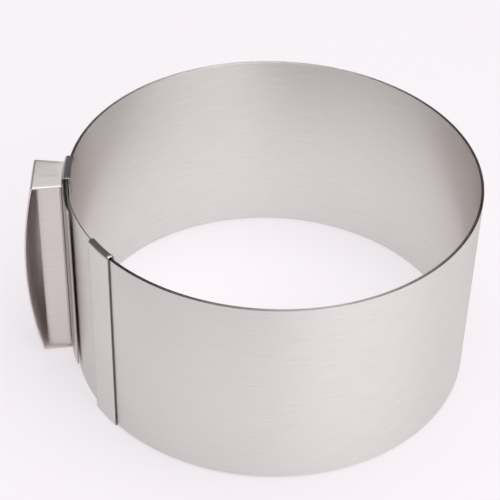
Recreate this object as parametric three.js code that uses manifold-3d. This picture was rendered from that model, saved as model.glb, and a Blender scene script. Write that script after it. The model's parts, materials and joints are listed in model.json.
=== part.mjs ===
// Adjustable cake ring: one long strip of stainless sheet coiled nearly twice round,
// with a clip folded on to its outer end and a sleeve with a handle on its inner end.
// Millimetres, +Z up, standing on the folds of its clips.

import * as THREE from 'three';
import { mergeVertices } from 'three/addons/utils/BufferGeometryUtils.js';
import Module from 'manifold-3d';

// Band
const ringDiameter = 164.4; // outside, as the ring stands in the photograph
const openDiameter = 300; // outside, at the widest setting
const bandHeight = 85;
const bandThickness = 0.4;
const coilPitch = 0.8; // growth of the coil's radius in one turn
const bandSections = 44; // the strip is divided into stiff sections that bend at their joints
const firstSectionShare = 0.5; // the first section is this much of a full one
const sectionGap = 0.3;

// Clips, folded from one sheet
const clipThickness = 0.5;
const clipBend = 0.7; // inside radius of the folds
const clipLip = 6.7; // how far the folds reach down and up inside the ring
const seatGap = 0.3; // between pieces that are welded or rest on each other
const slideGap = 0.4; // between a fold and the edge of the strip that slides in it
const outerClipWidth = 13.2; // along the rim
const outerClipRoom = 0.65; // for the strip that slides inside the outer clip
const outerEndInset = 1.4; // from the clip's edge to the end of the strip
const sleeveNearWidth = 22.6; // of the sleeve's plate, from the handle's middle towards the clip
const sleeveFarWidth = 16.6; // and away from it
const sleeveFoldNear = 3; // the same for the sleeve's folds
const sleeveFoldFar = 10.6;
const sleeveRoom = 2.05; // from the inner end of the strip to the sleeve's plate
const innerEndInset = 1; // from the fold's edge to the inner end of the strip
const exposedStrip = 22; // single strip that shows between the two clips

// Handle
const handleAngle = 182.7; // degrees round the ring from +X
const handleInset = 0.4; // of the handle from the edges of the band
const channelThickness = 0.6;
const channelBend = 0.6; // inside radius
const channelWidth = 15;
const channelDepth = 9.3; // of its front wall
const bowThickness = 0.6;
const bowFootWidth = 16.4;
const bowWidth = 19.4;
const bowLean = 16.2; // degrees that its face leans outwards at the corners
const bowBend = 0.7; // inside radius of its corners

// Facets
const sectionFacets = 8;
const clipFacets = 8;
const bendFacets = 8;
const bowFacets = 24;

const degree = Math.PI / 180;
const fullTurn = 2 * Math.PI;

const wasm = await Module();
wasm.setup();

const steel = {
  band: { color: 0xc9c5c2, metalness: 0.95, roughness: 0.34 },
  clip: { color: 0xc2bdba, metalness: 0.95, roughness: 0.3 },
  handle: { color: 0xccc8c5, metalness: 0.95, roughness: 0.38 },
};

const group = new THREE.Group();

function addPiece(name, geometry, finish) {
  const mesh = new THREE.Mesh(geometry, new THREE.MeshStandardMaterial(finish));
  mesh.name = name;
  group.add(mesh);
  return mesh;
}

// The middle line of a sheet bent along a path of straight runs and round bends.
// A move is { run } or { radius, turn, facets }, with the turn in radians, to the left when positive.
function bentPath(start, heading, moves) {
  const stations = [{ x: start.x, y: start.y, angle: heading }];
  for (const move of moves) {
    const steps = move.turn ? move.facets : 1;
    for (let k = 0; k < steps; k++) {
      const last = stations[stations.length - 1];
      const part = move.turn ? move.turn / steps : 0;
      const chord = move.turn ? 2 * move.radius * Math.sin(Math.abs(part) / 2) : move.run;
      stations.push({
        x: last.x + chord * Math.cos(last.angle + part / 2),
        y: last.y + chord * Math.sin(last.angle + part / 2),
        angle: last.angle + part,
      });
    }
  }
  return stations;
}

// The point beside a station, to the left of the path when the offset is positive
function beside(station, offset) {
  return new THREE.Vector2(
    station.x - offset * Math.sin(station.angle),
    station.y + offset * Math.cos(station.angle),
  );
}

function bentSheet(thickness, start, heading, moves) {
  const stations = bentPath(start, heading, moves);
  const right = stations.map((station) => beside(station, -thickness / 2));
  const left = stations.map((station) => beside(station, thickness / 2));
  return [...right, ...left.reverse()];
}

// Angles from mark to mark, with the same number of facets in each stretch.
function spread(facets, ...marks) {
  const angles = [marks[0]];
  for (let i = 1; i < marks.length; i++) {
    for (let k = 1; k <= facets; k++) {
      angles.push(marks[i - 1] + (marks[i] - marks[i - 1]) * k / facets);
    }
  }
  return angles;
}

// A closed solid from a section in radius and height, swept round the ring's axis.
function sweepRound(section, angles) {
  const points = THREE.ShapeUtils.isClockWise(section) ? [...section].reverse() : section;
  const count = points.length;
  const positions = [];
  for (const angle of angles) {
    for (const point of points) {
      positions.push(point.x * Math.cos(angle), point.x * Math.sin(angle), point.y);
    }
  }
  const faces = [];
  const facets = angles.length - 1;
  for (let k = 0; k < facets; k++) {
    for (let i = 0; i < count; i++) {
      const next = (i + 1) % count;
      const a = k * count + i;
      const b = k * count + next;
      const c = (k + 1) * count + next;
      const d = (k + 1) * count + i;
      faces.push(a, c, b, a, d, c);
    }
  }
  const last = facets * count;
  for (const [a, b, c] of THREE.ShapeUtils.triangulateShape(points, [])) {
    faces.push(a, b, c, last + a, last + c, last + b);
  }
  const geometry = new THREE.BufferGeometry();
  geometry.setAttribute('position', new THREE.Float32BufferAttribute(positions, 3));
  geometry.setIndex(faces);
  geometry.computeVertexNormals();
  return geometry;
}

// A closed sheet from two grids of points, one to the left (side 1) and one to the right (side -1)
function closedSheet(rows, columns, place) {
  const positions = [];
  for (const side of [1, -1]) {
    for (let i = 0; i < rows; i++) {
      for (let j = 0; j < columns; j++) {
        positions.push(...place(i, j, side));
      }
    }
  }
  const left = (i, j) => i * columns + j;
  const right = (i, j) => (rows + i) * columns + j;
  const faces = [];
  const quad = (a, b, c, d) => faces.push(a, b, c, a, c, d);
  const lastRow = rows - 1;
  const lastColumn = columns - 1;
  for (let i = 0; i < lastRow; i++) {
    for (let j = 0; j < lastColumn; j++) {
      quad(left(i, j), left(i + 1, j), left(i + 1, j + 1), left(i, j + 1));
      quad(right(i, j), right(i, j + 1), right(i + 1, j + 1), right(i + 1, j));
    }
    quad(left(i, 0), right(i, 0), right(i + 1, 0), left(i + 1, 0));
    quad(left(i, lastColumn), left(i + 1, lastColumn), right(i + 1, lastColumn), right(i, lastColumn));
  }
  for (let j = 0; j < lastColumn; j++) {
    quad(left(0, j), left(0, j + 1), right(0, j + 1), right(0, j));
    quad(left(lastRow, j), right(lastRow, j), right(lastRow, j + 1), left(lastRow, j + 1));
  }
  const geometry = new THREE.BufferGeometry();
  geometry.setAttribute('position', new THREE.Float32BufferAttribute(positions, 3));
  geometry.setIndex(faces);
  geometry.computeVertexNormals();
  return geometry;
}

function toManifold(geometry) {
  const bare = geometry.clone();
  bare.deleteAttribute('normal');
  bare.deleteAttribute('uv');
  const merged = mergeVertices(bare);
  return new wasm.Manifold(new wasm.Mesh({
    numProp: 3,
    vertProperties: Float32Array.from(merged.attributes.position.array),
    triVerts: Uint32Array.from(merged.index.array),
  }));
}

function fromManifold(solid) {
  const mesh = solid.getMesh();
  const geometry = new THREE.BufferGeometry();
  geometry.setAttribute('position', new THREE.Float32BufferAttribute(mesh.vertProperties, 3));
  geometry.setIndex([...mesh.triVerts]);
  geometry.computeVertexNormals();
  return geometry;
}

// Places round the rim, in radians; the clip comes after the sleeve, on its near side
const rimRadius = ringDiameter / 2;
const sleeveMiddle = handleAngle * degree;
const sleeveNearEdge = sleeveMiddle + sleeveNearWidth / rimRadius;
const sleeveFarEdge = sleeveMiddle - sleeveFarWidth / rimRadius;
const foldNearEdge = sleeveMiddle + sleeveFoldNear / rimRadius;
const foldFarEdge = sleeveMiddle - sleeveFoldFar / rimRadius;
const clipNearEdge = sleeveNearEdge + exposedStrip / rimRadius;
const clipFarEdge = clipNearEdge + outerClipWidth / rimRadius;
const innerEndAngle = foldNearEdge - innerEndInset / rimRadius;
const outerEndAngle = clipNearEdge + outerEndInset / rimRadius;

// The strip runs clockwise from its inner end, nearly twice round
const coilAngle = 2 * fullTurn - (outerEndAngle - innerEndAngle);
const outerEndRadius = rimRadius - bandThickness / 2;
const innerEndRadius = outerEndRadius - coilPitch * coilAngle / fullTurn;

// The strip's middle surface, by the angle wound since its inner end
const bandBottom = clipThickness + slideGap;
const bandTop = bandBottom + bandHeight;

function coilRadius(wound) {
  return innerEndRadius + coilPitch * wound / fullTurn;
}

function coilPoint(wound, offset) {
  const radius = coilRadius(wound) + offset;
  const angle = innerEndAngle - wound;
  return new THREE.Vector2(radius * Math.cos(angle), radius * Math.sin(angle));
}

// The strip: a first short section, then equal ones, each curved like the coil
const sectionAngle = coilAngle / (bandSections - 1 + firstSectionShare);

function sectionStart(index) {
  return index === 0 ? 0 : (index - 1 + firstSectionShare) * sectionAngle;
}

function bandSection(index) {
  const halfGap = sectionGap / 2 / rimRadius;
  const from = sectionStart(index) + (index === 0 ? 0 : halfGap);
  const to = index === bandSections - 1 ? coilAngle : sectionStart(index + 1) - halfGap;
  const outline = [];
  for (let k = 0; k <= sectionFacets; k++) {
    outline.push(coilPoint(from + (to - from) * k / sectionFacets, bandThickness / 2));
  }
  for (let k = sectionFacets; k >= 0; k--) {
    outline.push(coilPoint(from + (to - from) * k / sectionFacets, -bandThickness / 2));
  }
  const geometry = new THREE.ExtrudeGeometry(new THREE.Shape(outline), {
    depth: bandHeight,
    bevelEnabled: false,
  });
  geometry.translate(0, 0, bandBottom);
  return geometry;
}

// How far each joint of the strip turns as the ring opens to its widest,
// so that the coil stays evenly wound
const stripLength = coilAngle * (innerEndRadius + outerEndRadius) / 2;
const openTurns = stripLength / (Math.PI * openDiameter);
const openInnerRadius = openDiameter / 2 - bandThickness / 2 - coilPitch * openTurns;

function openingTurn(index) {
  const wound = sectionStart(index);
  const openRadius = openInnerRadius + coilPitch * openTurns * wound / coilAngle;
  return sectionAngle * (1 - coilRadius(wound) / openRadius);
}

for (let index = 0; index < bandSections; index++) {
  const name = 'band_' + String(index + 1).padStart(2, '0');
  const mesh = addPiece(name, bandSection(index), steel.band);
  if (index > 0) {
    mesh.userData.joint = coilPoint(sectionStart(index), 0);
    mesh.userData.openingTurn = openingTurn(index);
  }
}

// A clip's section: a sheet folded over both edges of the band, with a lip inside each fold
const clipHeight = bandHeight + 2 * (clipThickness + slideGap);

function clipSection(inside, outside) {
  const bendRadius = clipBend + clipThickness / 2;
  const lipRun = clipLip - clipBend - clipThickness;
  const acrossRun = outside - inside - 2 * (clipBend + clipThickness);
  const plateRun = clipHeight - 2 * (clipBend + clipThickness);
  const quarter = { radius: bendRadius, turn: -Math.PI / 2, facets: bendFacets };
  const start = new THREE.Vector2(inside + clipThickness / 2, clipHeight - clipLip);
  const moves = [{ run: lipRun }, quarter, { run: acrossRun }, quarter, { run: plateRun },
    quarter, { run: acrossRun }, quarter, { run: lipRun }];
  return bentSheet(clipThickness, start, Math.PI / 2, moves);
}

function plateSection(inside) {
  return [
    new THREE.Vector2(inside, bandBottom),
    new THREE.Vector2(inside + clipThickness, bandBottom),
    new THREE.Vector2(inside + clipThickness, bandTop),
    new THREE.Vector2(inside, bandTop),
  ];
}

// The clip on the outer end: from inside, its lip, the sliding strip, the strip's end, its plate
const slidingRadius = outerEndRadius - coilPitch;
const outerClipInside = slidingRadius - bandThickness / 2 - outerClipRoom - clipThickness;
const outerClipOutside = outerEndRadius + bandThickness / 2 + seatGap + clipThickness;
addPiece(
  'outer_clip',
  sweepRound(clipSection(outerClipInside, outerClipOutside), spread(clipFacets, clipNearEdge, clipFarEdge)),
  steel.clip,
);

// The sleeve: from inside, its lip with the strip's inner end, the sliding strip, its plate
const sleeveLipInside = innerEndRadius - bandThickness / 2 - seatGap - clipThickness;
const sleevePlateInside = innerEndRadius + bandThickness / 2 + sleeveRoom;
const sleevePlateOutside = sleevePlateInside + clipThickness;
const sleeveFold = sweepRound(
  clipSection(sleeveLipInside, sleevePlateOutside),
  spread(clipFacets, foldFarEdge, foldNearEdge),
);
const sleevePlate = sweepRound(
  plateSection(sleevePlateInside),
  spread(clipFacets, sleeveFarEdge, foldFarEdge, foldNearEdge, sleeveNearEdge),
);
addPiece('handle_sleeve', fromManifold(toManifold(sleeveFold).add(toManifold(sleevePlate))), steel.clip);

// The handle stands on the sleeve's plate: x outwards from the ring's axis, y along the rim
const handleBottom = bandBottom + handleInset;
const handleTop = bandTop - handleInset;
const handleSeat = sleevePlateOutside + seatGap;

function placeHandle(geometry) {
  geometry.rotateZ(sleeveMiddle);
  return geometry;
}

// Bow: a strip bent over the channel's ends and bulged outwards between them, seen from the
// side as a path out along the top, down the bulge and back along the bottom
const bowDepth = channelDepth + seatGap + bowThickness;
const bowLeanAngle = bowLean * degree;
const bowCornerRadius = bowBend + bowThickness / 2;
const bowChord = handleTop - handleBottom - bowThickness - 2 * bowCornerRadius * (1 - Math.sin(bowLeanAngle));
const bowCorner = { radius: bowCornerRadius, turn: bowLeanAngle - Math.PI / 2, facets: bendFacets };
const bowRun = { run: bowDepth - bowBend - bowThickness };
const bowStations = bentPath(new THREE.Vector2(handleSeat, handleTop - bowThickness / 2), 0, [
  bowRun,
  bowCorner,
  { radius: bowChord / 2 / Math.sin(bowLeanAngle), turn: -2 * bowLeanAngle, facets: bowFacets },
  bowCorner,
  bowRun,
]);

// The strip widens from feet that are cut to the sleeve's curve
function bowSolid() {
  const columns = sectionFacets + 1;
  return placeHandle(closedSheet(bowStations.length, columns, (i, j, side) => {
    const point = beside(bowStations[i], side * bowThickness / 2);
    const outShare = Math.min(1, (point.x - handleSeat) / bowDepth);
    const y = (bowFootWidth + (bowWidth - bowFootWidth) * outShare) * (j / sectionFacets - 1 / 2);
    const isFoot = i === 0 || i === bowStations.length - 1;
    const x = isFoot ? Math.sqrt(point.x * point.x - y * y) : point.x;
    return [x, y, point.y];
  }));
}

addPiece('handle_bow', bowSolid(), steel.handle);

// Channel: a back wall out to the bow's inside, a web on the sleeve, and a front wall with a
// straight edge. Its levels follow the bow's inside, from the bottom up.
function channelSolid() {
  const bendRadius = channelBend + channelThickness / 2;
  const wallMiddle = (channelWidth - channelThickness) / 2;
  const webRadius = handleSeat + channelThickness / 2;
  const webEnd = Math.asin((wallMiddle - bendRadius) / (webRadius + bendRadius));
  const wallStart = (webRadius + bendRadius) * Math.cos(webEnd);
  const wallEdge = handleSeat + channelDepth;
  const wall = { run: wallEdge - wallStart };
  const bend = { radius: bendRadius, turn: -(Math.PI / 2 + webEnd), facets: bendFacets };
  const web = { radius: webRadius, turn: 2 * webEnd, facets: sectionFacets };
  const path = bentPath(new THREE.Vector2(wallEdge, -wallMiddle), Math.PI, [wall, bend, web, bend, wall]);
  const inside = bowStations.slice(1, -1).reverse();
  const levels = inside.map((station) => beside(station, -bowThickness / 2 - seatGap));
  return placeHandle(closedSheet(levels.length, path.length, (i, j, side) => {
    const point = beside(path[j], side * channelThickness / 2);
    if (j === 0) {
      point.x = levels[i].x;
    }
    return [Math.min(point.x, levels[i].x), point.y, levels[i].y];
  }));
}

addPiece('handle_channel', channelSolid(), steel.handle);

// The origin is the middle of the part's footprint
const bounds = new THREE.Box3().setFromObject(group);
const middle = bounds.getCenter(new THREE.Vector3());
group.position.set(-middle.x, -middle.y, -bounds.min.z);

export default group;
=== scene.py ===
# Adjustable cake ring in brushed stainless sheet: a strip coiled nearly twice round, with a folded
# clip on its outer end, and on its inner end a folded sleeve that carries a hollow handle.
import json
import math

import bmesh
import bpy
from mathutils import Matrix, Vector


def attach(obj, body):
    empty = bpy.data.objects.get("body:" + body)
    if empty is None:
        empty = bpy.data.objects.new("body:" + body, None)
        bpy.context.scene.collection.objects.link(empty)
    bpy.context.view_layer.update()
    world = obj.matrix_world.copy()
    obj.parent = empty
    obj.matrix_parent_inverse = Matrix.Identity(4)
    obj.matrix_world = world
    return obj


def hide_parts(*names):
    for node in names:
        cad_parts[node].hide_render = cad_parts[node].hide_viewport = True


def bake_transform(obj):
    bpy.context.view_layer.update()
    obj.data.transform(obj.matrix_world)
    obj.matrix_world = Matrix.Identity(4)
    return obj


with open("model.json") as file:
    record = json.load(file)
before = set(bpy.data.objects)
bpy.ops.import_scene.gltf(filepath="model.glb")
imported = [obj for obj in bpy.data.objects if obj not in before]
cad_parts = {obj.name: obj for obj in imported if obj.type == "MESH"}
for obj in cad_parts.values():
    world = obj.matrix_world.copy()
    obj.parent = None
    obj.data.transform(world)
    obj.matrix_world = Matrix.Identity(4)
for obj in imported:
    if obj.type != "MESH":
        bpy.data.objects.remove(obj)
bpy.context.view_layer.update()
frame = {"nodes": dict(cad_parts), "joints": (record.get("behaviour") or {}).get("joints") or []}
print("frame loaded:", len(frame["nodes"]), "nodes")

mm = 0.001
fullTurn = 2 * math.pi


def linear(hexColour):  # an sRGB hex colour as the linear one that shaders take
    channels = [int(hexColour[i:i + 2], 16) / 255 for i in (1, 3, 5)]
    # the numbers are those of the sRGB standard
    curve = [c / 12.92 if c <= 0.04045 else ((c + 0.055) / 1.055) ** 2.4 for c in channels]
    return (*curve, 1.0)


def addNode(tree, kind, options=None, inputs=None):  # an input is a value, or a socket to link from
    node = tree.nodes.new(kind)
    for name, value in (options or {}).items():
        setattr(node, name, value)
    for key, value in (inputs or {}).items():
        if isinstance(value, bpy.types.NodeSocket):
            tree.links.new(value, node.inputs[key])
        else:
            node.inputs[key].default_value = value
    return node


firstColour, secondColour, mixedColour = 6, 7, 2  # sockets of a mix node that mixes colours

# sizes that several pieces share, in millimetres
ring = {
    "diameter": 164.4,       # outside, as photographed
    "height": 85,
    "thickness": 0.4,
    "pitch": 0.8,            # growth of the coil's radius in a turn
    "sections": 44,          # stiff sections of the strip in the frame
    "firstShare": 0.5,       # length of the first one, as a share of the others
    "exposed": 22,           # single strip between the two clips
}
sheet = {
    "thickness": 0.5,
    "bend": 0.7,             # inside radius
    "lip": 6.7,              # how far a fold reaches down or up inside the ring
    "seatGap": 0.3,          # between welded sheets
    "slideGap": 0.4,         # between a fold and the strip's edge
}
sleeve = {
    "near": 22.6, "far": 16.6,       # plate, from the handle's middle
    "foldNear": 3, "foldFar": 10.6,  # where the folds end
    "room": 2.05,            # from the strip's inner end to the plate
    "endInset": 1,           # from the fold's edge to the strip's inner end
    "foldReach": 1.6,        # more fold on the near side, past the strip's end
    "step": 2.6,             # past the folds' ends the plate stops this far below the top
    "bottomStep": 5,         # above the bottom on the near side
    "farStep": 6,            # and from both on the far side
    "curl": 0.42, "curlWidth": 5,    # the plate's near edge leans towards the strip
}
clip = {
    "width": 13.2,           # along the rim
    "room": 0.65,            # for the strip that slides inside
    "endInset": 1.4,         # from the clip's edge to the strip's outer end
}
handle = {
    "angle": 182.7,          # degrees round the ring from +X
    "inset": 0.4,            # from the strip's edges
    "gap": 0.02,             # between the sleeve and what stands on it
}

# Places round the rim in radians, and the coil that they give
rim = ring["diameter"] / 2
handleAngle = math.radians(handle["angle"])
sleeveNear = handleAngle + sleeve["near"] / rim
sleeveFar = handleAngle - sleeve["far"] / rim
foldNear = handleAngle + sleeve["foldNear"] / rim
foldFar = handleAngle - sleeve["foldFar"] / rim
clipNear = sleeveNear + ring["exposed"] / rim
clipFar = clipNear + clip["width"] / rim
innerEnd = foldNear - sleeve["endInset"] / rim
outerEnd = clipNear + clip["endInset"] / rim
coilAngle = 2 * fullTurn - (outerEnd - innerEnd)
outerRadius = rim - ring["thickness"] / 2
innerRadius = outerRadius - ring["pitch"] * coilAngle / fullTurn
sectionAngle = coilAngle / (ring["sections"] - 1 + ring["firstShare"])
bandBottom = sheet["thickness"] + sheet["slideGap"]
stripLength = coilAngle * (innerRadius + outerRadius) / 2
turnLength = fullTurn * (outerRadius - ring["pitch"] / 2)  # of the outermost turn


def coilPoint(wound):  # a point of the strip's middle surface, from the ring's axis
    radius = innerRadius + ring["pitch"] * wound / fullTurn
    angle = innerEnd - wound
    return Vector((radius * math.cos(angle), radius * math.sin(angle), 0))


# The ring's axis in the frame, from the place of the strip's first joint
hingePlace = Vector(frame["joints"][0]["pos_m"])
ringAxis = hingePlace - coilPoint(ring["firstShare"] * sectionAngle) * mm
ringAxis.z = 0
print("ring axis at", [round(v / mm, 3) for v in ringAxis])

# camera
view = {
    "target": (-8.9, 3.8, 43.4),  # from the ring's axis on the floor, millimetres
    "distance": 639,
    "elevation": 39.16,
    "roll": 1.5,
    "lens": 111.8,
    "sensor": 36,
    "clipStart": 0.05, "clipEnd": 20,  # metres
}


def placeCamera():
    up = math.radians(view["elevation"])
    roll = math.radians(view["roll"])
    back = Vector((0, -math.cos(up), math.sin(up)))
    right = Vector((1, 0, 0))
    over = back.cross(right)
    turnedRight = right * math.cos(roll) + over * math.sin(roll)
    turnedUp = over * math.cos(roll) - right * math.sin(roll)
    data = bpy.data.cameras.new("photoCamera")
    data.sensor_width = view["sensor"]
    data.lens = view["lens"]
    data.clip_start = view["clipStart"]
    data.clip_end = view["clipEnd"]
    camera = bpy.data.objects.new("photoCamera", data)
    bpy.context.scene.collection.objects.link(camera)
    axes = Matrix((turnedRight, turnedUp, back)).transposed().to_4x4()
    place = ringAxis + Vector(view["target"]) * mm + back * view["distance"] * mm
    camera.matrix_world = Matrix.Translation(place) @ axes
    bpy.context.scene.camera = camera


placeCamera()
print("camera placed")

# studio: pale paper on the floor, a broad light from the front right, a box overhead, and a dim room
# with white walls low behind on both sides
studio = {
    "paper": "#F8F3F7",
    "paperGlow": 0.7,            # share of the paper that camera and metal see at its own colour
    "light": "#FFFCFD",
    "dim": 0.08,                 # strength of the room where nothing else lights it
    # the direction of each glow, the cosines of the angle to it where the glow starts and is full,
    # and its strength
    "glows": [
        ((0.592, -0.415, 0.691), (0.40, 1.57), 2.92),  # broad light
        ((-0.60, 0.78, 0.18), (0.93, 1.0), 0.6),       # wall on the left
        ((0.90, 0.42, 0.10), (0.92, 1.0), 0.8),        # wall on the right
    ],
    "boxSize": 1.3,              # metres
    "boxHeight": 1.5,            # metres
    "boxPower": 15.4,            # watts
    "floorSize": 6.0,            # metres
}


def paperMaterial():
    # Matt photographic paper: no gloss, an even pale tone that keeps soft shadows
    material = bpy.data.materials.new("mattPaper")
    material.use_nodes = True
    tree = material.node_tree
    tree.nodes.clear()
    seen = addNode(tree, "ShaderNodeLightPath")
    either = addNode(tree, "ShaderNodeMath", {"operation": "MAXIMUM"},
                     {0: seen.outputs["Is Camera Ray"], 1: seen.outputs["Is Glossy Ray"]})
    direct = addNode(tree, "ShaderNodeMath", {"operation": "MAXIMUM"},
                     {0: either.outputs[0], 1: seen.outputs["Is Transmission Ray"]})
    share = addNode(tree, "ShaderNodeMath", {"operation": "MULTIPLY"},
                    {0: direct.outputs[0], 1: studio["paperGlow"]})
    tone = linear(studio["paper"])
    matt = addNode(tree, "ShaderNodeBsdfDiffuse", None, {"Color": tone})
    glow = addNode(tree, "ShaderNodeEmission", None, {"Color": tone, "Strength": 1.0})
    mixed = addNode(tree, "ShaderNodeMixShader", None,
                    {0: share.outputs[0], 1: matt.outputs[0], 2: glow.outputs[0]})
    addNode(tree, "ShaderNodeOutputMaterial", None, {"Surface": mixed.outputs[0]})
    return material


def makeFloor():
    half = studio["floorSize"] / 2
    mesh = bpy.data.meshes.new("paperFloor")
    corners = [(-half, -half, 0), (half, -half, 0), (half, half, 0), (-half, half, 0)]
    mesh.from_pydata(corners, [], [(0, 1, 2, 3)])
    mesh.materials.append(paperMaterial())
    floor = bpy.data.objects.new("paperFloor", mesh)
    bpy.context.scene.collection.objects.link(floor)


def makeRoom():
    # The metal is lit by the room and mirrors it. The camera sees it as plain paper.
    world = bpy.data.worlds.new("studioRoom")
    bpy.context.scene.world = world
    world.use_nodes = True
    tree = world.node_tree
    tree.nodes.clear()
    way = addNode(tree, "ShaderNodeTexCoord").outputs["Generated"]
    total = addNode(tree, "ShaderNodeValue")
    total.outputs[0].default_value = studio["dim"]
    for towards, ramp, strength in studio["glows"]:
        facing = addNode(tree, "ShaderNodeVectorMath", {"operation": "DOT_PRODUCT"},
                         {0: way, 1: towards})
        share = addNode(tree, "ShaderNodeMapRange", {"interpolation_type": "SMOOTHSTEP"},
                        {"Value": facing.outputs["Value"], "From Min": ramp[0], "From Max": ramp[1]})
        total = addNode(tree, "ShaderNodeMath", {"operation": "MULTIPLY_ADD"},
                        {0: share.outputs[0], 1: strength, 2: total.outputs[0]})
    around = addNode(tree, "ShaderNodeBackground", None,
                     {"Color": linear(studio["light"]), "Strength": total.outputs[0]})
    paper = addNode(tree, "ShaderNodeBackground", None,
                    {"Color": linear(studio["paper"]), "Strength": 1.0})
    seen = addNode(tree, "ShaderNodeLightPath")
    shown = addNode(tree, "ShaderNodeMixShader", None,
                    {0: seen.outputs["Is Camera Ray"], 1: around.outputs[0], 2: paper.outputs[0]})
    addNode(tree, "ShaderNodeOutputWorld", None, {"Surface": shown.outputs[0]})


def makeLamp():
    data = bpy.data.lights.new("overheadBox", "AREA")
    data.shape = "SQUARE"
    data.size = studio["boxSize"]
    data.energy = studio["boxPower"]
    lamp = bpy.data.objects.new("overheadBox", data)
    lamp.location = (0, 0, studio["boxHeight"])
    lamp.visible_camera = False
    bpy.context.scene.collection.objects.link(lamp)


makeFloor()
makeRoom()
makeLamp()
bpy.context.scene.view_settings.view_transform = "Standard"
print("studio lit")

# finishes, with sizes in millimetres. The lines of the grain run from dark to light, and grazing tints
# what steel reflects just short of a grazing view, where it reflects a little less.
finishes = {
    "band": {
        "name": "brushedStainlessStrip",
        "dark": "#E9E6E3", "light": "#F1EEEC",
        "roughness": (0.32, 0.37), "stretch": 0.93,
        "lineWidth": 0.45, "lineLength": 14, "lineDepth": 0.0015,
        "mottle": 28, "grazing": "#E8E6E4",
        # Its sheared edges carry painted shade: dark from the outer end on, standing in for the shadow
        # in the gap where the real turns stand apart, and the edges' own duller grey further round:
        # colours, and the parts of a turn where one becomes the other
        "rim": ("#544E4C", "#C0BAB8"), "rimFade": (0.07, 0.19),
    },
    "clip": {
        "name": "brushedStainlessClip",
        "dark": "#E7E4E1", "light": "#EFECEA",
        "roughness": (0.33, 0.39), "stretch": 0.85,
        "lineWidth": 0.4, "lineLength": 12, "lineDepth": 0.0015,
        "mottle": 16, "grazing": "#E8E6E4",
    },
    "handle": {
        "name": "brushedStainlessHandle",
        "dark": "#E0DAD7", "light": "#E9E3E0",
        "roughness": (0.34, 0.40), "stretch": 0.85,
        "lineWidth": 0.5, "lineLength": 9, "lineDepth": 0.002,
        "mottle": 14, "grazing": "#E8E6E4",
    },
    "inside": {              # only the outer face is brushed: inside it is paler, dull and plain
        "name": "millStainlessInside",
        "dark": "#F4ECEA", "light": "#F8F2F0",
        "roughness": (0.60, 0.70), "stretch": 0.0,
        "lineWidth": 0.5, "lineLength": 4, "lineDepth": 0.001,
        "mottle": 14, "grazing": "#F0EEEC",
    },
    "edge": {                # sheared edges of the clips, torn rough, so grey and without a highlight
        "name": "shearedStainlessEdge",
        "dark": "#A8A2A0", "light": "#B4AEAC",
        "roughness": (0.45, 0.55), "stretch": 0.0,
        "lineWidth": 0.5, "lineLength": 4, "lineDepth": 0.001,
        "mottle": 14, "grazing": "#D0CCCA",
    },
}
grain = {                    # shared by the finishes
    "detail": 3.0, "fall": 0.6,  # of the noise that draws the lines
    "range": (0.3, 0.7),         # of this noise, from dark to light
    "mottleDetail": 2.0,
    "mottleShare": 0.35,         # of the mottle in the roughness
    "roughRange": (0.45, 0.9),   # of both together, from smooth to rough
    "relief": 0.5,               # strength of the bump
    "quarterTurn": 0.25,         # draws a highlight out across the lines
    "rimFrom": 0.06,             # the strip's faces end this far from its edges
}


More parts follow.
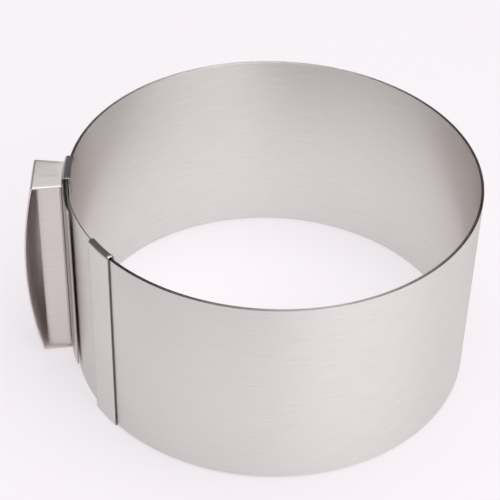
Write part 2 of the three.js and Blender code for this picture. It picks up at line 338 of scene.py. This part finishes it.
def stainlessFinish(values):
    # Type 304 stainless sheet, cold rolled and belt brushed (No. 4 finish). The belt leaves fine
    # lines along the sheet, so a highlight is drawn out across them. Real lines are 0.05 to 0.1 mm
    # apart, too fine to show here, so they are drawn lineWidth apart. Where the sheet isn't brushed,
    # the same noise is the rolling's or the shear's short faint marks, and nothing is drawn out.
    material = bpy.data.materials.new(values["name"])
    material.use_nodes = True
    tree = material.node_tree
    tree.nodes.clear()
    place = addNode(tree, "ShaderNodeUVMap", {"uv_map": "UVMap"})  # metres along and across the lines
    drawn = addNode(tree, "ShaderNodeMapping", None, {
        "Vector": place.outputs[0],
        "Scale": (1 / (values["lineLength"] * mm), 1 / (values["lineWidth"] * mm), 1),
    })
    lines = addNode(tree, "ShaderNodeTexNoise", {"noise_dimensions": "2D"},
                    {"Vector": drawn.outputs[0], "Scale": 1.0, "Detail": grain["detail"],
                     "Roughness": grain["fall"]})
    broad = addNode(tree, "ShaderNodeTexCoord")
    mottle = addNode(tree, "ShaderNodeTexNoise", None,
                     {"Vector": broad.outputs["Object"], "Scale": 1 / (values["mottle"] * mm),
                      "Detail": grain["mottleDetail"]})
    tone = addNode(tree, "ShaderNodeMapRange", None,
                   {"Value": lines.outputs[0],
                    "From Min": grain["range"][0], "From Max": grain["range"][1]})
    colour = addNode(tree, "ShaderNodeMix", {"data_type": "RGBA"}, {
        "Factor": tone.outputs[0],
        firstColour: linear(values["dark"]), secondColour: linear(values["light"]),
    }).outputs[mixedColour]
    # painted shade on the strip's edges: dark from the outer end, for the shadow in the gap between the
    # turns, fading further round into the edges' own duller grey
    if "rim" in values:  # the flat place goes past the strip's faces on its edges
        flat = addNode(tree, "ShaderNodeSeparateXYZ", None, {0: place.outputs[0]}).outputs
        across = addNode(tree, "ShaderNodeMath", {"operation": "ABSOLUTE"}, {0: flat["Y"]})
        past = addNode(tree, "ShaderNodeMath", {"operation": "GREATER_THAN"},
                       {0: across.outputs[0], 1: (ring["height"] / 2 - grain["rimFrom"]) * mm})
        turns = addNode(tree, "ShaderNodeMath", {"operation": "MULTIPLY_ADD"},
                        {0: flat["X"], 1: -1 / (turnLength * mm), 2: stripLength / turnLength})
        part = addNode(tree, "ShaderNodeMath", {"operation": "FRACT"}, {0: turns.outputs[0]})
        further = addNode(tree, "ShaderNodeMapRange", None, {
            "Value": part.outputs[0],
            "From Min": values["rimFade"][0], "From Max": values["rimFade"][1]})
        rimShadeAndGrey = addNode(tree, "ShaderNodeMix", {"data_type": "RGBA"}, {
            "Factor": further.outputs[0],
            firstColour: linear(values["rim"][0]), secondColour: linear(values["rim"][1]),
        }).outputs[mixedColour]
        colour = addNode(tree, "ShaderNodeMix", {"data_type": "RGBA"}, {
            "Factor": past.outputs[0], firstColour: colour, secondColour: rimShadeAndGrey,
        }).outputs[mixedColour]
    uneven = addNode(tree, "ShaderNodeMath", {"operation": "MULTIPLY_ADD"},
                     {0: mottle.outputs[0], 1: grain["mottleShare"], 2: lines.outputs[0]})
    rough = addNode(tree, "ShaderNodeMapRange", None, {
        "Value": uneven.outputs[0],
        "From Min": grain["roughRange"][0], "From Max": grain["roughRange"][1],
        "To Min": values["roughness"][0], "To Max": values["roughness"][1]})
    bump = addNode(tree, "ShaderNodeBump", None, {
        "Height": lines.outputs[0], "Strength": grain["relief"], "Distance": values["lineDepth"] * mm})
    along = addNode(tree, "ShaderNodeTangent", {"direction_type": "UV_MAP", "uv_map": "UVMap"})
    shader = addNode(tree, "ShaderNodeBsdfPrincipled", None, {
        "Base Color": colour,
        "Metallic": 1.0,
        "Specular Tint": linear(values["grazing"]),
        "Roughness": rough.outputs[0],
        "Anisotropic": values["stretch"],
        "Anisotropic Rotation": grain["quarterTurn"],
        "Normal": bump.outputs[0],
        "Tangent": along.outputs[0],
    })
    addNode(tree, "ShaderNodeOutputMaterial", None, {"Surface": shader.outputs[0]})
    return material


steels = {kind: stainlessFinish(values) for kind, values in finishes.items()}
print("finishes made")

# the coiled strip
strip = {
    "facets": 32,            # of each stretch between two section middles
    "rounding": 0.08,        # that deburring leaves on the sheared edges, millimetres
    "roundingFacets": 3,
    "edgeShare": 0.5,        # of the place across the thickness, added to the flat place
    "aside": 0.001,          # radians, for the direction at a joint
    "blendReach": 2.732,     # neighbouring stretches meet in place and direction when the ring opens
}


def coiledStripTree():
    # A straight line is resampled, laid on the coil and given the strip's section
    tree = bpy.data.node_groups.new("coiledStrip", "GeometryNodeTree")
    tree.interface.new_socket("Geometry", in_out="INPUT", socket_type="NodeSocketGeometry")
    for kind, names in (
        ("Float", ("Wound From", "Wound To", "Inner Radius", "Pitch", "Inner End", "Middle Height")),
        ("Float", ("Height", "Thickness", "Edge")),
        ("Int", ("Facets",)), ("Vector", ("Axis",)), ("Material", ("Finish",)),
    ):
        for name in names:
            tree.interface.new_socket(name, in_out="INPUT", socket_type="NodeSocket" + kind)
    tree.interface.new_socket("Geometry", in_out="OUTPUT", socket_type="NodeSocketGeometry")
    given = addNode(tree, "NodeGroupInput").outputs

    # the sums, as a name, an operation and what goes in: a named input, an earlier sum or a number
    known = {socket.name: socket for socket in given if socket.name}
    known["part"] = addNode(tree, "GeometryNodeSplineParameter").outputs["Factor"]
    for name, operation, *values in (
        ("points", "ADD", "Facets", 1.0),
        ("span", "SUBTRACT", "Wound To", "Wound From"),
        ("wound", "MULTIPLY_ADD", "part", "span", "Wound From"),
        ("growth", "DIVIDE", "Pitch", fullTurn),
        ("radius", "MULTIPLY_ADD", "wound", "growth", "Inner Radius"),
        ("angle", "SUBTRACT", "Inner End", "wound"),
        ("cosine", "COSINE", "angle"),
        ("sine", "SINE", "angle"),
        ("x", "MULTIPLY", "radius", "cosine"),
        ("y", "MULTIPLY", "radius", "sine"),
        # length along the strip from its inner end: r0 w + growth w w / 2
        ("squared", "MULTIPLY", "wound", "wound"),
        ("half", "MULTIPLY", "growth", 0.5),
        ("grown", "MULTIPLY", "squared", "half"),
        ("length", "MULTIPLY_ADD", "wound", "Inner Radius", "grown"),
    ):
        inputs = {slot: known.get(value, value) for slot, value in enumerate(values)}
        known[name] = addNode(tree, "ShaderNodeMath", {"operation": operation}, inputs).outputs[0]

    line = addNode(tree, "GeometryNodeCurvePrimitiveLine", None, {"End": (1.0, 0.0, 0.0)})
    points = addNode(tree, "GeometryNodeResampleCurve", None,
                     {"Curve": line.outputs[0], "Count": known["points"]})
    flat = addNode(tree, "ShaderNodeCombineXYZ", None,
                   {"X": known["x"], "Y": known["y"], "Z": given["Middle Height"]})
    spot = addNode(tree, "ShaderNodeVectorMath", {"operation": "ADD"},
                   {0: flat.outputs[0], 1: given["Axis"]})
    onPoints = {"data_type": "FLOAT", "domain": "POINT"}
    measured = addNode(tree, "GeometryNodeStoreNamedAttribute", onPoints,
                       {"Geometry": points.outputs[0], "Name": "along", "Value": known["length"]})
    laid = addNode(tree, "GeometryNodeSetPosition", None,
                   {"Geometry": measured.outputs[0], "Position": spot.outputs[0]})
    upright = addNode(tree, "GeometryNodeSetCurveNormal", {"mode": "Z_UP"}, {"Curve": laid.outputs[0]})

    outline = addNode(tree, "GeometryNodeCurvePrimitiveQuadrilateral", {"mode": "RECTANGLE"},
                      {"Width": given["Thickness"], "Height": given["Height"]})
    rounded = addNode(tree, "GeometryNodeFilletCurve", {"mode": "POLY"},
                      {"Curve": outline.outputs[0], "Count": strip["roundingFacets"],
                       "Radius": given["Edge"]})
    where = addNode(tree, "ShaderNodeSeparateXYZ", None,
                    {0: addNode(tree, "GeometryNodeInputPosition").outputs[0]}).outputs
    # the place across the thickness is added, so that the grain keeps a direction on the edges too
    height = addNode(tree, "ShaderNodeMath", {"operation": "MULTIPLY_ADD"},
                     {0: where["X"], 1: strip["edgeShare"], 2: where["Y"]})
    marked = addNode(tree, "GeometryNodeStoreNamedAttribute", onPoints,
                     {"Geometry": rounded.outputs[0], "Name": "across", "Value": height.outputs[0]})
    swept = addNode(tree, "GeometryNodeCurveToMesh", None,
                    {"Curve": upright.outputs[0], "Profile Curve": marked.outputs[0], "Fill Caps": True})
    along, across = (
        addNode(tree, "GeometryNodeInputNamedAttribute", {"data_type": "FLOAT"}, {"Name": name})
        for name in ("along", "across"))
    flatPlace = addNode(tree, "ShaderNodeCombineXYZ", None,
                        {"X": along.outputs[0], "Y": across.outputs[0]})
    onCorners = {"data_type": "FLOAT2", "domain": "CORNER"}
    mapped = addNode(tree, "GeometryNodeStoreNamedAttribute", onCorners,
                     {"Geometry": swept.outputs[0], "Name": "UVMap", "Value": flatPlace.outputs[0]})
    bare = mapped.outputs[0]
    for name in ("along", "across"):
        bare = addNode(tree, "GeometryNodeRemoveAttribute", None,
                       {"Geometry": bare, "Name": name}).outputs[0]
    real = addNode(tree, "GeometryNodeRealizeInstances", None, {"Geometry": bare})
    dressed = addNode(tree, "GeometryNodeSetMaterial", None,
                      {"Geometry": real.outputs[0], "Material": given["Finish"]})
    addNode(tree, "NodeGroupOutput", None, {0: dressed.outputs[0]})
    return tree


smoothTo = math.radians(35)  # sharper edges stay sharp


def plainMesh(carrier, name):  # the evaluated result as a mesh with nothing left on it
    evaluated = carrier.evaluated_get(bpy.context.evaluated_depsgraph_get())
    mesh = bpy.data.meshes.new_from_object(evaluated)
    mesh.name = name
    mesh.shade_smooth()
    mesh.set_sharp_from_angle(angle=smoothTo)
    return mesh


def makeStrip():
    tree = coiledStripTree()
    names = {item.name: item.identifier for item in tree.interface.items_tree if item.in_out == "INPUT"}
    carrier = bpy.data.objects.new("stripCarrier", bpy.data.meshes.new("stripCarrier"))
    bpy.context.scene.collection.objects.link(carrier)
    made = []
    for bend in range(1, ring["sections"]):
        # each stretch runs from one section's middle to the next, round the joint between them
        start = (bend - 1) * sectionAngle
        stop = bend * sectionAngle if bend < ring["sections"] - 1 else coilAngle
        modifier = carrier.modifiers.new("coiledStrip", "NODES")
        modifier.node_group = tree
        for name, value in (
            ("Wound From", start), ("Wound To", stop), ("Facets", strip["facets"]),
            ("Inner Radius", innerRadius * mm), ("Pitch", ring["pitch"] * mm), ("Inner End", innerEnd),
            ("Axis", tuple(ringAxis)), ("Middle Height", (bandBottom + ring["height"] / 2) * mm),
            ("Height", ring["height"] * mm), ("Thickness", ring["thickness"] * mm),
            ("Edge", strip["rounding"] * mm), ("Finish", steels["band"]),
        ):
            modifier[names[name]] = value
        name = "bandStretch_%02d" % bend
        mesh = plainMesh(carrier, name)
        carrier.modifiers.clear()
        piece = bpy.data.objects.new(name, mesh)
        bpy.context.scene.collection.objects.link(piece)
        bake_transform(piece)
        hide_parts("band_%02d" % (bend + 1))
        if bend == 1:
            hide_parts("band_01")
        made.append(piece)
    bpy.data.objects.remove(carrier)
    return made


stretches = makeStrip()
print("strip made:", len(stretches), "stretches")

# folded and bent sheet pieces
bends = {
    "step": 9,               # degrees of a bend in one facet
    "arc": 0.02,             # radians of the ring in one facet
    "rounding": 0.09,        # of the cut edges, millimetres
    "roundingFacets": 2,
    "roundFrom": 50,         # degrees that an edge turns where it is rounded
    "rimShift": 0.25,        # past the faces in the flat, so that the grain has a direction on the rim
    "lipCuts": 4, "plateCuts": 20,
    "upright": 1e-6,         # largest cosine of the direction on a plate
}


def bentPath(start, heading, moves):  # (x, y, direction, length) at each station of the sheet's middle
    x, y = start
    direction = heading
    length = 0
    stations = [(x, y, direction, length)]
    for move in moves:
        turn = move.get("turn", 0)
        facets = max(2, round(abs(turn) / math.radians(bends["step"])))
        steps = move.get("facets", facets) if turn else move.get("cuts", 1)
        for _ in range(steps):
            if turn:
                bit = turn / steps
                chord = 2 * move["radius"] * math.sin(abs(bit) / 2)
                length += move["radius"] * abs(bit)
            else:
                bit = 0
                chord = move["run"] / steps
                length += chord
            x += chord * math.cos(direction + bit / 2)
            y += chord * math.sin(direction + bit / 2)
            direction += bit
            stations.append((x, y, direction, length))
    return stations


def sheetPiece(name, rows, columns, place, keep, spot, kinds):
    # A sheet as a grid of cells with two faces and a rim. place(i, j, side) gives a point in
    # millimetres, side being -1 or 1, and spot(i, j) its flat place. keep(i, j) says if a cell is
    # there. kinds names the finishes of side 1, side -1 and the rim.
    mesh = bpy.data.meshes.new(name)
    form = bmesh.new()
    layer = form.loops.layers.uv.new("UVMap")
    shift = bends["rimShift"]
    corners = {}

    def corner(i, j, side):
        if (i, j, side) not in corners:
            corners[i, j, side] = form.verts.new(Vector(place(i, j, side)) * mm)
        return corners[i, j, side]

    def face(keys, past):
        made = form.faces.new([corner(*key) for key in keys])
        for loop, (i, j, side) in zip(made.loops, keys):
            flat = Vector(spot(i, j)) + Vector(past) * side
            loop[layer].uv = flat * mm
        sides = {side for _, _, side in keys}
        if len(sides) > 1:
            made.material_index = 2
        elif -1 in sides:
            made.material_index = 1

    def there(i, j):
        return 0 <= i < rows - 1 and 0 <= j < columns - 1 and keep(i, j)

    for i in range(rows - 1):
        for j in range(columns - 1):
            if not there(i, j):
                continue
            face([(i, j, 1), (i, j + 1, 1), (i + 1, j + 1, 1), (i + 1, j, 1)], (0, 0))
            face([(i, j, -1), (i + 1, j, -1), (i + 1, j + 1, -1), (i, j + 1, -1)], (0, 0))
            for other, a, b, past in (
                ((i - 1, j), (i, j), (i, j + 1), (0, shift)),
                ((i + 1, j), (i + 1, j + 1), (i + 1, j), (0, -shift)),
                ((i, j - 1), (i + 1, j), (i, j), (shift, 0)),
                ((i, j + 1), (i, j + 1), (i + 1, j + 1), (-shift, 0)),
            ):
                if not there(*other):
                    face([(*a, 1), (*a, -1), (*b, -1), (*b, 1)], past)
    bmesh.ops.recalc_face_normals(form, faces=form.faces)
    form.to_mesh(mesh)
    form.free()
    for kind in kinds:
        mesh.materials.append(steels[kind])
    carrier = bpy.data.objects.new(name + "Carrier", mesh)
    bpy.context.scene.collection.objects.link(carrier)
    rounding = carrier.modifiers.new("cutEdges", "BEVEL")
    rounding.width = bends["rounding"] * mm
    rounding.segments = bends["roundingFacets"]
    rounding.limit_method = "ANGLE"
    rounding.angle_limit = math.radians(bends["roundFrom"])
    rounding.harden_normals = False
    final = plainMesh(carrier, name)
    bpy.data.objects.remove(carrier)
    piece = bpy.data.objects.new(name, final)
    bpy.context.scene.collection.objects.link(piece)
    return piece


def spread(marks, step):  # angles from mark to mark, none further apart than the step
    angles = [marks[0]]
    for a, b in zip(marks, marks[1:]):
        count = max(1, math.ceil(abs(b - a) / step))
        angles += [a + (b - a) * (k + 1) / count for k in range(count)]
    return angles


clipHeight = ring["height"] + 2 * bandBottom


def foldedClip(name, inside, outside, angles, isThere, curl):
    # A sheet folded over both edges of the strip, with a lip inside each fold. Its plate has a cut at
    # each height where the sleeve is stepped, at the top and at the bottom. isThere(onPlate, angle,
    # height) says if a cell is there, and curl(angle) how far the sheet leans inwards.
    thick, bend = sheet["thickness"], sheet["bend"]
    over = outside - inside - 2 * (bend + thick)
    quarter = {"radius": bend + thick / 2, "turn": -math.pi / 2}
    lip = {"run": sheet["lip"] - bend - thick, "cuts": bends["lipCuts"]}
    steps = [
        {"run": sleeve["step"] - bend - thick},
        {"run": sleeve["bottomStep"] - sleeve["step"]},
        {"run": sleeve["farStep"] - sleeve["bottomStep"]},
    ]
    plate = {"run": clipHeight - 2 * sleeve["farStep"], "cuts": bends["plateCuts"]}
    stations = bentPath((inside + thick / 2, clipHeight - sheet["lip"]), math.pi / 2, [
        lip, quarter, {"run": over}, quarter, *steps, plate, *reversed(steps),
        quarter, {"run": over}, quarter, lip,
    ])

    def place(i, j, side):
        radius, height, direction, _ = stations[i]
        radius -= math.sin(direction) * side * thick / 2 + curl(angles[j])
        height += math.cos(direction) * side * thick / 2
        return (radius * math.cos(angles[j]) + ringAxis.x / mm,
                radius * math.sin(angles[j]) + ringAxis.y / mm, height)

    def spot(i, j):
        return (angles[j] * rim, stations[i][3])

    def keep(i, j):
        ends = stations[i], stations[i + 1]
        upright = all(abs(math.cos(direction)) < bends["upright"] for _, _, direction, _ in ends)
        onPlate = upright and stations[i][0] > (inside + outside) / 2
        height = (stations[i][1] + stations[i + 1][1]) / 2
        return isThere(onPlate, (angles[j] + angles[j + 1]) / 2, height)

    return sheetPiece(name, len(stations), len(angles), place, keep, spot,
                      ("clip", "inside", "edge"))


def makeOuterClip():
    slidingRadius = outerRadius - ring["pitch"]
    inside = slidingRadius - ring["thickness"] / 2 - clip["room"] - sheet["thickness"]
    outside = outerRadius + ring["thickness"] / 2 + sheet["seatGap"] + sheet["thickness"]
    return foldedClip("outerClip", inside, outside, spread([clipNear, clipFar], bends["arc"]),
                      lambda onPlate, angle, height: True, lambda angle: 0)


outerClip = makeOuterClip()
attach(outerClip, "clip_end")
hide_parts("outer_clip")

plateOutside = innerRadius + ring["thickness"] / 2 + sleeve["room"] + sheet["thickness"]


def makeSleeve():
    inside = innerRadius - ring["thickness"] / 2 - sheet["seatGap"] - sheet["thickness"]
    foldEnd = foldNear + sleeve["foldReach"] / rim

    def isThere(onPlate, angle, height):
        if foldFar < angle < foldEnd:
            return True
        if angle < foldFar:
            return onPlate and sleeve["farStep"] < height < clipHeight - sleeve["farStep"]
        return onPlate and sleeve["bottomStep"] < height < clipHeight - sleeve["step"]

    def curl(angle):
        share = max(0, 1 - (sleeveNear - angle) * rim / sleeve["curlWidth"])
        return sleeve["curl"] * share ** 2

    angles = spread([sleeveFar, foldFar, foldEnd, sleeveNear], bends["arc"])
    return foldedClip("handleSleeve", inside, plateOutside, angles, isThere, curl)


handleSleeve = makeSleeve()
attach(handleSleeve, "handle_end")
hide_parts("handle_sleeve")
print("clips folded")

# handle: a channel on the sleeve and a bow over it. The front wall stops short of the bow, and the
# back wall curves into it.
channel = {
    "thickness": 0.6, "bend": 0.6, "width": 15,
    "webFacets": 8,
    "depth": 9.6,            # of the front wall, from the sleeve
    "frontCuts": 4,
    "edgeRadius": 5,         # of the front wall's edge, rolled inwards
    "edgeTurn": 32,          # degrees
    "edgeFacets": 10,
    "backRadius": 4.7,       # of the back wall's curve into the bow
    "curveFacets": 10, "backCuts": 3,
    "backCell": 1.2,         # flat length of one of these facets
    "weld": 0.25,            # how far its edge is sunk in the bow
    "thinShare": 0.5,        # of its thickness at that edge
    "thinFacets": 4,         # from there to the whole thickness
    "cover": 0.1,            # least part of the bow's sheet that stays outside it
}
bow = {
    "thickness": 0.6, "footWidth": 16.4, "width": 19.4,
    "depth": 11.7,           # of its corners, from the sleeve
    "lean": 12.8,            # degrees that its face leans outwards there
    "bend": 0.4, "cornerFacets": 10,
    "footCuts": 4, "bulgeFacets": 64, "columns": 13,
}

handleBottom = bandBottom + handle["inset"]
handleTop = bandBottom + ring["height"] - handle["inset"]
seat = plateOutside + handle["gap"]  # both stand on the sleeve


def onHandle(x, y, z):  # x outwards from the ring's axis through the handle's middle, y along the rim
    cosine, sine = math.cos(handleAngle), math.sin(handleAngle)
    return (x * cosine - y * sine + ringAxis.x / mm, x * sine + y * cosine + ringAxis.y / mm, z)


def bowPath():  # seen from the side: out along the top, down the bulge, back along the bottom
    thick, bend = bow["thickness"], bow["bend"]
    lean = math.radians(bow["lean"])
    corner = bend + thick / 2
    chord = handleTop - handleBottom - thick - 2 * corner * (1 - math.sin(lean))
    small = {"radius": corner, "turn": lean - math.pi / 2, "facets": bow["cornerFacets"]}
    bulge = {"radius": chord / 2 / math.sin(lean), "turn": -2 * lean, "facets": bow["bulgeFacets"]}
    run = {"run": bow["depth"] - bend - thick, "cuts": bow["footCuts"]}
    return bentPath((seat, handleTop - thick / 2), 0, [run, small, bulge, small, run])


bowStations = bowPath()


def makeBow():
    thick, columns = bow["thickness"], bow["columns"]

    def place(i, j, side):
        x, z, direction, _ = bowStations[i]
        z += math.cos(direction) * side * thick / 2
        x -= math.sin(direction) * side * thick / 2
        out = min(1.0, max(0.0, (x - seat) / bow["depth"]))
        width = bow["footWidth"] + (bow["width"] - bow["footWidth"]) * out
        y = (j / (columns - 1) - 0.5) * width
        nearEnd = min(i, len(bowStations) - 1 - i)
        if nearEnd < bow["footCuts"]:  # the foot is cut to the sleeve's curve
            x -= (seat - math.sqrt(seat ** 2 - y ** 2)) * (1 - nearEnd / bow["footCuts"])
        return onHandle(x, y, z)

    def spot(i, j):
        return (bowStations[i][3], (j / (columns - 1) - 0.5) * bow["width"])

    return sheetPiece("handleBow", len(bowStations), columns, place, lambda i, j: True, spot,
                      ("handle", "inside", "handle"))


def makeChannel():
    # Back wall that curves into the bow, web on the sleeve, front wall with a rolled edge. Its rows
    # follow the bow's inside, and its columns go from the back wall's edge to the front wall's.
    thick = channel["thickness"]
    radius = channel["bend"] + thick / 2
    wallY = channel["width"] / 2 - thick / 2
    webRadius = seat + thick / 2
    webEnd = math.asin((wallY - radius) / (webRadius + radius))
    bendX = (webRadius + radius) * math.cos(webEnd)
    edgeRadius = channel["edgeRadius"]
    edgeTurn = math.radians(channel["edgeTurn"])
    edgeX = seat + channel["depth"] - edgeRadius * math.sin(edgeTurn)
    turn = {"radius": radius, "turn": -(math.pi / 2 + webEnd)}
    stations = bentPath((bendX, -wallY), math.pi, [
        turn, {"radius": webRadius, "turn": 2 * webEnd, "facets": channel["webFacets"]}, turn,
        {"run": edgeX - bendX, "cuts": channel["frontCuts"]},
        {"radius": edgeRadius, "turn": -edgeTurn, "facets": channel["edgeFacets"]},
    ])
    curve, straight = channel["curveFacets"], channel["backCuts"]
    levels = []  # height, and where the bow's inside is there
    for x, z, direction, _ in bowStations[bow["footCuts"]:len(bowStations) - bow["footCuts"]]:
        levels.append((z - math.cos(direction) * bow["thickness"] / 2,
                       x + math.sin(direction) * bow["thickness"] / 2))

    def backWall(reach, j):  # from the bow's inside to the web, as (x, y, direction)
        big = channel["backRadius"]
        if j <= curve:
            left = (1 - j / curve) * math.pi / 2
            return (reach - big + big * math.sin(left), -wallY + big * (1 - math.cos(left)),
                    left - math.pi)
        share = (j - curve) / straight
        return (reach - big + (bendX - reach + big) * share, -wallY, math.pi)

    def place(i, j, side):
        height, reach = levels[i]
        if j < curve + straight:
            x, y, direction = backWall(reach + channel["weld"], j)
        else:
            x, y, direction, _ = stations[j - curve - straight]
        thinned = channel["thinShare"] + (1 - channel["thinShare"]) * j / channel["thinFacets"]
        half = thick / 2 * min(1, thinned)
        x -= math.sin(direction) * side * half
        y += math.cos(direction) * side * half
        return onHandle(min(x, reach + bow["thickness"] - channel["cover"]), y, height)

    def spot(i, j):
        index = j - curve - straight
        along = stations[max(0, index)][3] + min(0, index) * channel["backCell"]
        return (along, levels[i][0])

    columns = curve + straight + len(stations)
    return sheetPiece("handleChannel", len(levels), columns, place, lambda i, j: True, spot,
                      ("handle", "inside", "handle"))


for piece, node in ((makeChannel(), "handle_channel"), (makeBow(), "handle_bow")):
    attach(piece, "handle_end")
    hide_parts(node)
print("handle made")
